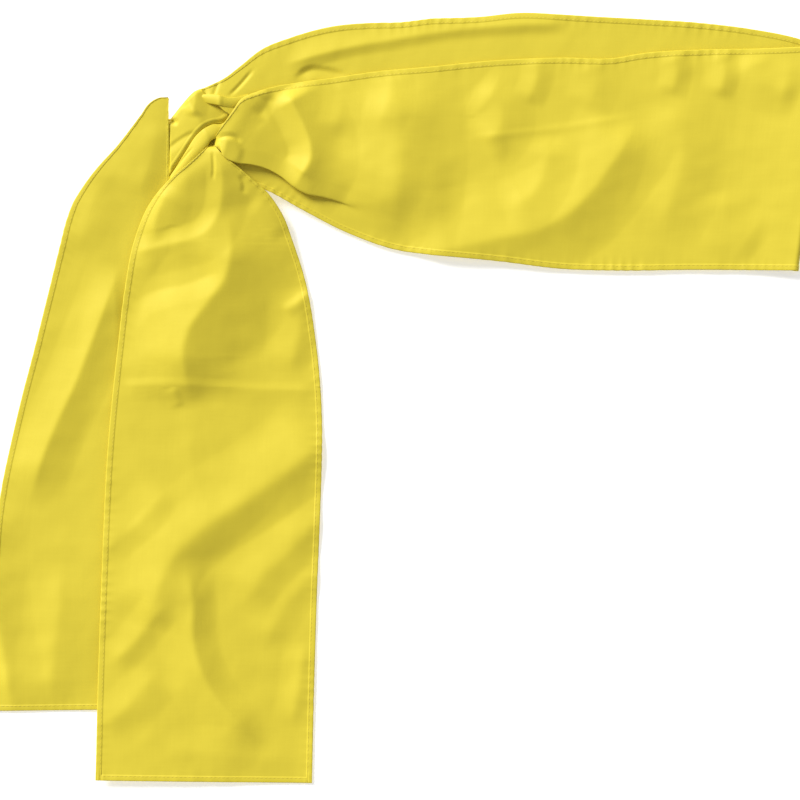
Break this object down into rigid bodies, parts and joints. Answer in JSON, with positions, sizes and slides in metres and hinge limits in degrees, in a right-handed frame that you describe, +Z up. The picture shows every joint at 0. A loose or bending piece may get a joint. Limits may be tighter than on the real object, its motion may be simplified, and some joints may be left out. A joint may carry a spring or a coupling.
{
  "type": "cloth sash",
  "caption": "Long hemmed strip of bright yellow cloth tied in a half knot and laid flat, with a waist loop pressed flat and hanging tails.",
  "frame": {"origin": "middle of the knot, on the surface that the sash lies on", "axes": "+Z up from the surface, +X along the waist loop away from the knot, -Y along the tails"},
  "size_m": [0.7905, 0.7255, 0.0346],
  "materials": {
    "cloth": "smooth plain-weave polyester with a soft satin gloss, lemon yellow",
    "hem": "the same cloth turned twice and sewn with one line of yellow thread"
  },
  "bodies": {
    "knot": {"knot_core": "cloth", "knot_collar": "cloth", "knot_wrap": "cloth", "knot_throat": "cloth", "knot_roll": "cloth", "back_tail_neck": "cloth", "front_band_inner": "cloth", "front_band_inner_bottom_hem": "hem", "front_band_inner_top_hem": "hem", "back_band_inner": "cloth", "back_band_inner_bottom_hem": "hem", "back_band_inner_top_hem": "hem"},
    "loop_outer": {"front_band_outer": "cloth", "front_band_outer_bottom_hem": "hem", "front_band_outer_top_hem": "hem", "back_band_outer": "cloth", "back_band_outer_bottom_hem": "hem", "back_band_outer_top_hem": "hem", "loop_end_fold": "cloth"},
    "front_tail": {"front_tail_upper": "cloth", "front_tail_upper_left_hem": "hem", "front_tail_upper_right_hem": "hem"},
    "front_tail_end": {"front_tail_lower": "cloth", "front_tail_lower_left_hem": "hem", "front_tail_lower_right_hem": "hem", "front_tail_lower_end_hem": "hem"},
    "back_tail": {"back_tail_upper": "cloth", "back_tail_upper_left_hem": "hem", "back_tail_upper_right_hem": "hem", "back_tail_lower": "cloth", "back_tail_lower_left_hem": "hem", "back_tail_lower_right_hem": "hem", "back_tail_lower_end_hem": "hem"}
  },
  "joints": [
    {"name": "front_tail_swing", "type": "hinge", "parent": "knot", "child": "front_tail", "pos_m": [0, 0, 0.031], "axis": [0, 0, 1], "range_deg": [-14, 8]},
    {"name": "front_tail_fold", "type": "hinge", "parent": "front_tail", "child": "front_tail_end", "pos_m": [0, -0.23, 0.0063], "axis": [-1, 0, 0], "range_deg": [0, 150]},
    {"name": "back_tail_swing", "type": "hinge", "parent": "knot", "child": "back_tail", "pos_m": [-0.042, 0.036, 0.02], "axis": [0, 0, 1], "range_deg": [-22, 1]},
    {"name": "loop_fold", "type": "hinge", "parent": "knot", "child": "loop_outer", "pos_m": [0.206, 0, 0.0063], "axis": [0, -1, 0], "range_deg": [0, 90]}
  ]
}
